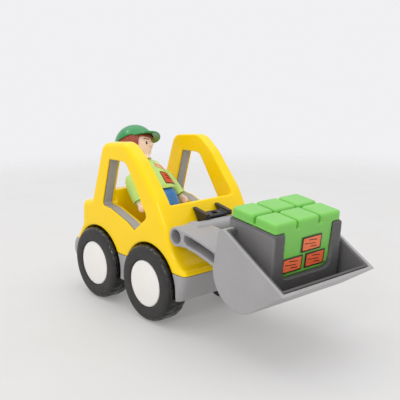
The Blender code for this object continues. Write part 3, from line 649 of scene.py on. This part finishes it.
def build_axle(place, body):
    """Steel axle with chamfered ends and a knurled stretch under each wheel."""
    node = "axle_" + place
    low, high = box_mm(node)
    centre = (low + high) / 2
    half, radius = (high.y - low.y) / 2, (high.z - low.z) / 2
    profile = [(0, -half), (radius - 0.4, -half), (radius, -half + 0.4)]
    for end in (-1, 1):
        middle = end * (half - 6)
        for notch in range(-8, 9):
            profile.append((radius - (0.08 if notch % 2 else 0.0), middle + notch * 0.35))
    profile += [(radius, half - 0.4), (radius - 0.4, half), (0, half)]
    data = bmesh.new()
    revolve(data, profile, 48, Matrix.Rotation(-math.pi / 2, 4, "X"))
    axle = new_object("steel_" + node, data)
    axle.location = centre * MM
    sharpen(axle, 35)
    finish(axle, body, bare_steel, node)


for wheel_end in ("front", "rear"):
    build_axle(wheel_end, wheel_end + "_wheels")
    for place in ("left", "right"):
        build_wheel(wheel_end + "_" + place, wheel_end + "_wheels")


# ---------------------------------------------------------------- load

load_axis = Vector(joints["load_lift_out"]["axis"])
tilt = math.atan2(load_axis.x, load_axis.z)


def load_matrix():
    """Frame of the load, on the rear edge of its cushions and along its walls, and its length."""
    matrix = Matrix.Rotation(tilt, 4, "Y")
    local = [matrix.inverted() @ (vertex.co / MM)
             for vertex in frame["nodes"]["brick_load"].data.vertices]
    low_u, high_u = min(point.x for point in local), max(point.x for point in local)
    high_w = max(point.z for point in local)
    return matrix @ Matrix.Translation((low_u, 0, high_w - CUSHION_TOP)), high_u - low_u


def slice_level(data, place, height, keep_above):
    """Cut closed shells at a height in a frame, keep one side and close the cut."""
    bmesh.ops.bisect_plane(data, geom=data.verts[:] + data.edges[:] + data.faces[:],
                           plane_co=place @ Vector((0, 0, height)),
                           plane_no=place.to_3x3() @ Vector((0, 0, 1)),
                           clear_inner=keep_above, clear_outer=not keep_above)
    bmesh.ops.holes_fill(data, edges=[edge for edge in data.edges if edge.is_boundary])


def build_load():
    """Green block, its six cushions parted by rounded grooves."""
    place, length = load_matrix()
    block = cad_copy("brick_load")
    bmesh.ops.remove_doubles(block, verts=block.verts, dist=0.001)
    slice_level(block, place, GROOVE_FLOOR, False)
    data = bmesh.new()
    half = CUSHION_WIDTH / 2
    for u in (0, length - CUSHION_LENGTH):
        for column in (-1, 0, 1):
            spot = place @ Matrix.Translation((u, column * CUSHION_PITCH, 0))
            add_box(data, (0, -half, -4.0), (CUSHION_LENGTH, half, CUSHION_TOP), CUSHION_EDGE, 6,
                    spot)
    slice_level(data, place, CUSHION_FOOT, True)
    lower = bpy.data.meshes.new("lower")
    block.to_mesh(lower)
    block.free()
    data.from_mesh(lower)
    load = new_object("green_block", data)
    soften(load, THIN_GRID, 3, 0.4)
    finish(load, "load", block_green, "brick_load")


def build_labels():
    """Thin printed plates with rounded corners on the front of the load."""
    place, _ = load_matrix()
    tints = (srgb(244, 120, 70), srgb(242, 114, 66), srgb(238, 100, 54))
    for number, tint in enumerate(tints, 1):
        node = "brick_label_%d" % number
        low, high = box_mm(node)
        width, height = high.y - low.y, (high.z - low.z) / math.cos(tilt)
        data = bmesh.new()
        add_box(data, (-0.15, -width / 2, -height / 2), (0.15, width / 2, height / 2), 0.12, 3)
        bmesh.ops.subdivide_edges(data, edges=[e for e in data.edges if e.calc_length() > 3],
                                  cuts=6, use_grid_fill=True)
        label = new_object("printed_label_%d" % number, data)
        label.matrix_world = (Matrix.Translation((low + high) / 2 * MM)
                              @ place.to_3x3().to_4x4())
        sharpen(label, 40)
        finish(label, "load", label_print("label_print_%d" % number, width, height, tint), node)


build_load()
build_labels()


# ---------------------------------------------------------------- driver

hip = Vector(joints["legs_swing"]["pos_m"]) / MM
torso_frame = Matrix.Translation(hip) @ Matrix.Rotation(-math.radians(LEAN_DEG), 4, "Y")
neck_frame = (torso_frame @ Matrix.Translation((0, 0, NECK_UP))
              @ Matrix.Rotation(math.radians(HEAD_TURN_DEG), 4, "Z"))
head_frame = (neck_frame @ Matrix.Translation((-HEAD_BACK, 0, HEAD_UP - NECK_UP))
              @ Matrix.Rotation(math.radians(HEAD_NOD_DEG), 4, "Y"))


def reshape(obj, shape):
    """Move each vertex by a function of its place in millimetres."""
    for vertex in obj.data.vertices:
        vertex.co = shape(vertex.co / MM) * MM


def figure_piece(name, data, place, body, material, *nodes, slot=None, relax=3, shape=None):
    """Driver piece drawn about its own frame and moulded in one."""
    piece = new_object(name, data)
    soften(piece, FIGURE_GRID, relax, FIGURE_KEEP_SHARE)
    if shape:
        reshape(piece, shape)
    settle(piece, place)
    finish(piece, body, material, *nodes, slot=slot)


def build_torso():
    """Light-green jacket, open at the neck, with a hem that stands off over the trousers."""
    data = bmesh.new()
    add_loft(data, [(0.1, 0, 2.6, 6.8, 9.2, 3.0), (0.1, 0, 5.0, 7.0, 9.4, 3.0),
                    (0.0, 0, 9.0, 6.8, 9.1, 2.8), (-0.1, 0, 14.0, 6.3, 8.6, 2.6),
                    (-0.2, 0, 19.0, 5.8, 8.0, 2.5), (-0.3, 0, 22.2, 5.0, 7.0, 2.4),
                    (-0.4, 0, 24.2, 3.9, 5.4, 2.2)])
    add_loft(data, [(-0.4, 0, 22.0, 4.9, 5.4, 2.2), (-0.4, 0, 24.6, 4.6, 5.0, 2.2)])
    jacket = new_object("jacket", data)
    hips = bmesh.new()
    add_rod(hips, (0, -14, 0), (0, 14, 0), 6.5, sides=64)
    subtract(jacket, "hip_room", hips)
    collar = bmesh.new()
    add_rod(collar, (-0.4, 0, 23.2), (-0.4, 0, 30), 3.6, sides=48)
    subtract(jacket, "collar_room", collar)
    soften(jacket, FIGURE_GRID, 3, FIGURE_KEEP_SHARE)
    settle(jacket, torso_frame)
    return finish(jacket, "driver", sleeve_green, "driver_torso")


jacket = build_torso()


def build_legs():
    """Blue trousers with a round seat, a fold between the legs, and shoes."""
    place = torso_frame @ Matrix.Rotation(math.radians(LEGS_DROP_DEG), 4, "Y")
    data = bmesh.new()
    add_loft(data, [(0.4, 0, -17.6, 4.9, 7.8, 2.6), (0.5, 0, -12, 5.3, 8.1, 2.5),
                    (0.5, 0, -6, 5.7, 8.4, 2.4), (0.2, 0, 0, 6.0, 8.5, 2.4),
                    (0, 0, 3.0, 5.2, 8.3, 2.4), (0, 0, 5.4, 2.9, 7.6, 2.3)])
    legs = new_object("trousers", data)
    fold = bmesh.new()
    add_box(fold, (-9, -0.35, -30), (9, 0.35, -6.5), 0.3, 2)
    subtract(legs, "leg_fold", fold)
    soften(legs, FIGURE_GRID, 3, FIGURE_KEEP_SHARE)
    settle(legs, place)
    finish(legs, "driver_lower", blue, "driver_legs")
    shoes = bmesh.new()
    for side in (-1, 1):
        add_box(shoes, (-5.0, side * 4.4 - 3.7, -20.6), (6.0, side * 4.4 + 3.7, -17.2), 1.5, 5)
    figure_piece("shoes", shoes, place, "driver_lower", shoe_brown, slot="driver_legs")


build_legs()


def build_arm(side):
    """Sleeve that swells at the elbow and narrows to a dark-edged cuff, and a mitten hand."""
    place = "left" if side > 0 else "right"
    body = "driver_%s_arm" % place
    shoulder = Vector(joints[place + "_arm_swing"]["pos_m"]) / MM
    turn = (Matrix.Rotation(math.radians(ARM_BACK_DEG), 4, "Y")
            @ Matrix.Rotation(side * math.radians(ARM_SPLAY_DEG), 4, "X"))
    frame_here = Matrix.Translation(shoulder) @ torso_frame.to_3x3().to_4x4() @ turn
    data = bmesh.new()
    add_loft(data, [(0.1, 0, -16.2, 3.1, 2.9, 2.2), (0.0, 0, -15.2, 3.3, 3.1, 2.2),
                    (-0.2, 0, -11, 3.7, 3.4, 2.2), (-0.3, 0, -7, 3.9, 3.6, 2.2),
                    (-0.2, 0, -2.5, 3.85, 3.6, 2.2), (-0.1, 0, 0.2, 3.5, 3.3, 2.2),
                    (0, 0, 2.2, 2.5, 2.4, 2.0), (0, 0, 3.3, 1.2, 1.2, 2.0)])
    figure_piece("sleeve_" + place, data, frame_here, body, sleeve_green, "driver_arm_" + place)
    angles = [2 * math.pi * i / 48 for i in range(48)]
    cuff = bmesh.new()
    ring_mesh(cuff, [[(0.05 + (3.12 + dr) * math.cos(a), (2.92 + dr) * math.sin(a), -15.8 + dz)
                      for a in angles]
                     for dr, dz in ((0.16, -0.25), (0.22, 0.0), (0.16, 0.25), (-0.4, 0.25),
                                    (-0.4, -0.25))])
    line = settle(new_object("cuff_line_" + place, cuff), frame_here)
    line.data.shade_smooth()
    finish(line, body, ink_black, slot="driver_arm_" + place)
    data = bmesh.new()
    add_ball(data, (0.1, 0, -19.5), (2.6, 2.2, 2.8))
    add_ball(data, (1.9, -side * 0.6, -18.8), (1.3, 1.1, 1.7))
    add_rod(data, (0.0, 0, -16.0), (0.1, 0, -18.5), 1.9)
    figure_piece("hand_" + place, data, frame_here, body, skin, "driver_hand_" + place)


for arm_side in (-1, 1):
    build_arm(arm_side)


def build_head():
    """Round head with a small nose, ears and chin."""
    data = bmesh.new()
    add_ball(data, (0, 0, 0), HEAD_RADII, sides=64)
    add_ball(data, (1.4, 0, -2.6), (8.3, 8.2, 8.4), sides=64)
    add_ball(data, (10.3, 0, -1.6), (1.3, 1.2, 1.2))
    for side in (-1, 1):
        add_ball(data, (0.2, side * 9.9, -1.6), (1.6, 0.9, 2.0))
    to_neck = head_frame.inverted() @ neck_frame
    add_rod(data, (0, 0, -0.8), (0, 0, 6), 4.1, 4.3, matrix=to_neck)
    figure_piece("head", data, head_frame, "driver_head_group", skin, "driver_head", relax=4)


build_head()


def face_point(sideways_deg, up_deg, lift):
    """Point just off the face at angles from straight ahead."""
    a, e = math.radians(sideways_deg), math.radians(up_deg)
    ray = (math.cos(a) * math.cos(e), math.sin(a) * math.cos(e), math.sin(e))
    return Vector([part * (radius + lift) for part, radius in zip(ray, HEAD_RADII)])


def face_stroke(name, points, radius, material):
    """Thin raised printed line on the face."""
    curve = bpy.data.curves.new(name, "CURVE")
    curve.dimensions = "3D"
    curve.bevel_depth = radius * MM
    curve.bevel_resolution = 3
    curve.use_fill_caps = True
    spline = curve.splines.new("NURBS")
    spline.points.add(len(points) - 1)
    for point, place in zip(spline.points, points):
        point.co = (*(place * MM), 1.0)
    spline.use_endpoint_u = True
    drawn = bpy.data.objects.new(name, curve)
    bpy.context.scene.collection.objects.link(drawn)
    bpy.context.view_layer.update()
    evaluated = drawn.evaluated_get(bpy.context.evaluated_depsgraph_get())
    mesh = bpy.data.meshes.new_from_object(evaluated)
    bpy.data.objects.remove(drawn, do_unlink=True)
    stroke = bpy.data.objects.new(name, mesh)
    bpy.context.scene.collection.objects.link(stroke)
    settle(stroke, head_frame)
    mesh.shade_smooth()
    finish(stroke, "driver_head_group", material, slot="driver_head")


def build_face():
    """Simple printed features: eyes, brows and a smile."""
    for side in (-1, 1):
        place = "left" if side > 0 else "right"
        data = bmesh.new()
        gaze = Matrix.Rotation(math.radians(side * EYE_SIDE_DEG), 4, "Z")
        add_ball(data, (0, 0, 0), (0.42, 0.8, 1.2), gaze)
        eye = new_object("eye_" + place, data)
        spot = face_point(side * EYE_SIDE_DEG, -9.0, -0.25)
        settle(eye, head_frame @ Matrix.Translation(spot))
        eye.data.shade_smooth()
        finish(eye, "driver_head_group", ink_black, slot="driver_head")
        brow = [face_point(side * angle, 2 + lift, 0.0) for angle, lift in
                ((16, 0), (22, 2.0), (29, 2.2), (37, 0.2))]
        face_stroke("brow_" + place, brow, 0.28, brown)
    smile = [face_point(angle, -30 - 5 * math.cos(math.radians(angle * 4)), 0.1)
             for angle in (-22, -13, 0, 13, 22)]
    face_stroke("smile", smile, 0.3, ink_red)


build_face()


def strands(point):
    """Comb marks that run down the hair."""
    around = math.atan2(point.y, point.x)
    depth = COMB_DEPTH * math.sin(around * COMB_MARKS + 2.5 * math.sin(point.z * 0.35))
    flat = Vector((point.x, point.y, 0))
    if flat.length < 1.0:
        return point
    return point + flat.normalized() * depth


def build_hair():
    """Hair shell under the cap, open at the face and the nape."""
    data = bmesh.new()
    add_ball(data, (0, 0, 0), (11.2, 11.1, 11.2), sides=64)
    hair = new_object("hair", data)
    room = bmesh.new()
    add_ball(room, (0, 0, 0), (10.45, 10.25, 10.45), sides=64)
    subtract(hair, "head_room", room)
    for name, low, high, radius in (("face_room", (4.4, -9.2, -16), (16, 9.2, 1.8), 2.0),
                                    ("cheek_room", (2.2, -16, -16), (16, 16, -4.0), 1.2),
                                    ("nape_room", (-16, -16, -16), (16, 16, -7.4), 0.0)):
        room = bmesh.new()
        add_box(room, low, high, radius, 5)
        subtract(hair, name, room)
    soften(hair, FIGURE_GRID, 2, 0.6)
    reshape(hair, strands)
    settle(hair, head_frame)
    finish(hair, "driver_head_group", brown, "driver_hair")


def seams(point):
    """Six stitched seams that run from the cap's button to its band."""
    reach, gore = math.hypot(point.x, point.y), 2 * math.pi / CAP_SEAMS
    if point.z < 5.2 or reach > 11.9:
        return point
    around = (math.atan2(point.y, point.x) / gore) % 1.0
    from_seam = min(around, 1 - around) * gore * reach
    sink = SEAM_DEPTH * math.exp(-(from_seam / SEAM_HALF_WIDTH) ** 2)
    return point * (1 - sink / max(point.length, 1.0))


def build_cap():
    """Cap with a domed crown, a turned-in band, a button and a curved brim."""
    data = bmesh.new()
    add_ball(data, (0, 0, 0.3), (12.05, 11.8, 11.75), sides=72)
    cap = new_object("cap", data)
    room = bmesh.new()
    add_ball(room, (0, 0, 0), (11.35, 11.3, 11.3), sides=64)
    subtract(cap, "hair_room", room)
    room = bmesh.new()
    band = (Matrix.Translation((0, 0, BAND_UP))
            @ Matrix.Rotation(-math.radians(BAND_TILT_DEG), 4, "Y"))
    add_box(room, (-24, -24, -24), (24, 24, 0), matrix=band)
    subtract(cap, "below_band", room)
    sheet = bmesh.new()
    columns, rows = 28, 10
    grid = []
    for row in range(rows + 1):
        line = []
        for column in range(columns + 1):
            angle = math.radians(BRIM_SPREAD_DEG * (2 * column / columns - 1))
            inner = Vector((11.0 * math.cos(angle), 11.0 * math.sin(angle), 0))
            outer = Vector((8.4 + 7.2 * math.cos(angle), 10.2 * math.sin(angle), 0))
            spot = inner.lerp(outer, row / rows)
            droop = -0.016 * spot.y ** 2 - 0.10 * max(spot.x - 11, 0)
            line.append(sheet.verts.new((spot.x, spot.y, BRIM_UP + droop)))
        grid.append(line)
    bridge_rows(sheet, grid)
    brim = new_object("brim_sheet", sheet)
    thicken(brim, BRIM_THICKNESS)
    whole = bmesh.new()
    whole.from_mesh(cap.data)
    whole.from_mesh(brim.data)
    bmesh.ops.scale(whole, verts=whole.verts, vec=(1 / MM,) * 3)
    add_ball(whole, (0, 0, 12.0), (1.3, 1.3, 0.6))
    for doomed in (cap, brim):
        bpy.data.objects.remove(doomed, do_unlink=True)
    figure_piece("cap", whole, head_frame, "driver_head_group", cap_green, "driver_cap",
                 shape=seams)


build_hair()
build_cap()


def on_jacket(tree, y, z, lift):
    """Point on the front of the jacket, in the torso's frame, lifted off by a distance."""
    hit, normal, _, _ = tree.ray_cast(Vector((20, y, z)), Vector((-1, 0, 0)))
    if hit is None:
        hit, normal, _, _ = tree.find_nearest(Vector((4, y, z)))
    return hit + normal * lift


def print_patch(name, tree, corners, grow, lift, material, *nodes):
    """Thin printed patch that follows the jacket between four corners (y, z), in order."""
    middle = sum((Vector(corner) for corner in corners), Vector((0, 0))) / 4
    first, second, third, fourth = (
        middle + (Vector(corner) - middle) * (1 + grow / (Vector(corner) - middle).length)
        for corner in corners)
    columns, rows = 14, 10
    data = bmesh.new()
    grid = []
    for row in range(rows + 1):
        left, right = first.lerp(fourth, row / rows), second.lerp(third, row / rows)
        spots = [left.lerp(right, column / columns) for column in range(columns + 1)]
        grid.append([data.verts.new(on_jacket(tree, spot.x, spot.y, lift)) for spot in spots])
    bridge_rows(data, grid)
    patch = new_object(name, data)
    thicken(patch, PRINT_THICKNESS)
    sharpen(patch, 50)
    settle(patch, torso_frame)
    finish(patch, "driver", material, *nodes, slot="driver_vest_print")


def build_print():
    """Safety vest printed on the left chest: a red panel and a pale shoulder band."""
    cloth = bmesh.new()
    cloth.from_mesh(jacket.data)
    bmesh.ops.transform(cloth, verts=cloth.verts, matrix=torso_frame.to_3x3().inverted().to_4x4())
    bmesh.ops.scale(cloth, verts=cloth.verts, vec=(1 / MM,) * 3)
    tree = BVHTree.FromBMesh(cloth)
    panel = [(1.6, 13.4), (7.6, 11.6), (7.8, 4.8), (1.4, 5.8)]
    strokes = ([(3.0, 11.4), (6.2, 10.4), (6.2, 9.7), (3.0, 10.7)],
               [(3.4, 9.2), (6.6, 8.3), (6.6, 7.6), (3.4, 8.5)])
    band = [(1.4, 20.8), (7.3, 17.2), (7.7, 14.6), (1.2, 17.6)]
    seam = [(1.4, 19.5), (7.3, 16.1), (7.4, 15.5), (1.4, 18.9)]
    print_patch("panel_outline", tree, panel, 0.9, 0.02, ink_black, "driver_vest_print")
    print_patch("panel_fill", tree, panel, 0.0, 0.07, ink_red)
    for number, stroke in enumerate(strokes, 1):
        print_patch("panel_stroke_%d" % number, tree, stroke, 0.0, 0.12, ink_black)
    print_patch("band_outline", tree, band, 0.4, 0.02, ink_red)
    print_patch("band_fill", tree, band, 0.0, 0.07, ink_cream)
    print_patch("band_seam", tree, seam, 0.0, 0.12, ink_red)
    cloth.free()


build_print()


# ---------------------------------------------------------------- studio

def build_floor():
    """Pale round table whose rim fades into the surround."""
    nodes = Nodes("studio_floor")
    nodes.into("Base Color", nodes.mix(nodes.spread(nodes.noise(60), 0, 1), srgb(182, 181, 179),
                                       srgb(185, 184, 183)))
    nodes.into("Emission Color", srgb(255, 254, 252))
    nodes.into("Emission Strength", FLOOR_GLOW)
    reach = nodes.add("ShaderNodeVectorMath", {0: nodes.place}, operation="LENGTH")
    nodes.into("Alpha", nodes.spread(reach.outputs["Value"], 1.0, 0.0, FLOOR_FADE_START,
                                     FLOOR_FADE_END))
    nodes.into("Roughness", nodes.spread(nodes.noise(25), 0.55, 0.65))
    nodes.bump(nodes.noise(1.5), 0.3, 0.01)
    data = bmesh.new()
    bmesh.ops.create_circle(data, cap_ends=True, segments=96, radius=FLOOR_RADIUS)
    floor = new_object("floor", data)
    floor.data.materials.append(nodes.material)


def add_light(name, place, size, power):
    """Square white softbox aimed at the toy."""
    light = bpy.data.lights.new(name, "AREA")
    light.size = size
    light.energy = power
    obj = bpy.data.objects.new(name, light)
    obj.location = place
    obj.rotation_euler = (LIGHT_AIM - obj.location).to_track_quat("-Z", "Y").to_euler()
    bpy.context.scene.collection.objects.link(obj)


def build_studio():
    """Soft light from above, a weaker front fill, two small glints and a bright surround."""
    build_floor()
    for light in LIGHTS:
        add_light(*light)
    world = bpy.data.worlds.new("surround")
    bpy.context.scene.world = world
    world.use_nodes = True
    background = world.node_tree.nodes["Background"]
    background.inputs["Color"].default_value = srgb(240, 240, 243)
    background.inputs["Strength"].default_value = 1.0
    bpy.context.scene.view_settings.view_transform = "Standard"


def build_camera():
    """Camera ahead of the toy, on its right and a little above it."""
    azimuth, elevation, roll = (math.radians(angle) for angle in
                                (CAMERA_AZIMUTH_DEG, CAMERA_ELEVATION_DEG, CAMERA_ROLL_DEG))
    back = Vector((math.sin(azimuth) * math.cos(elevation),
                   -math.cos(azimuth) * math.cos(elevation), math.sin(elevation)))
    camera = bpy.data.cameras.new("camera")
    camera.sensor_width = CAMERA_SENSOR
    camera.lens = CAMERA_LENS
    camera.clip_start, camera.clip_end = 0.02, 50.0
    obj = bpy.data.objects.new("camera", camera)
    obj.rotation_mode = "QUATERNION"
    look = (-back).to_track_quat("-Z", "Y")
    obj.rotation_quaternion = look @ Matrix.Rotation(roll, 4, "Z").to_quaternion()
    obj.location = CAMERA_TARGET * MM + back * CAMERA_DISTANCE
    bpy.context.scene.collection.objects.link(obj)
    bpy.context.scene.camera = obj


build_studio()
build_camera()
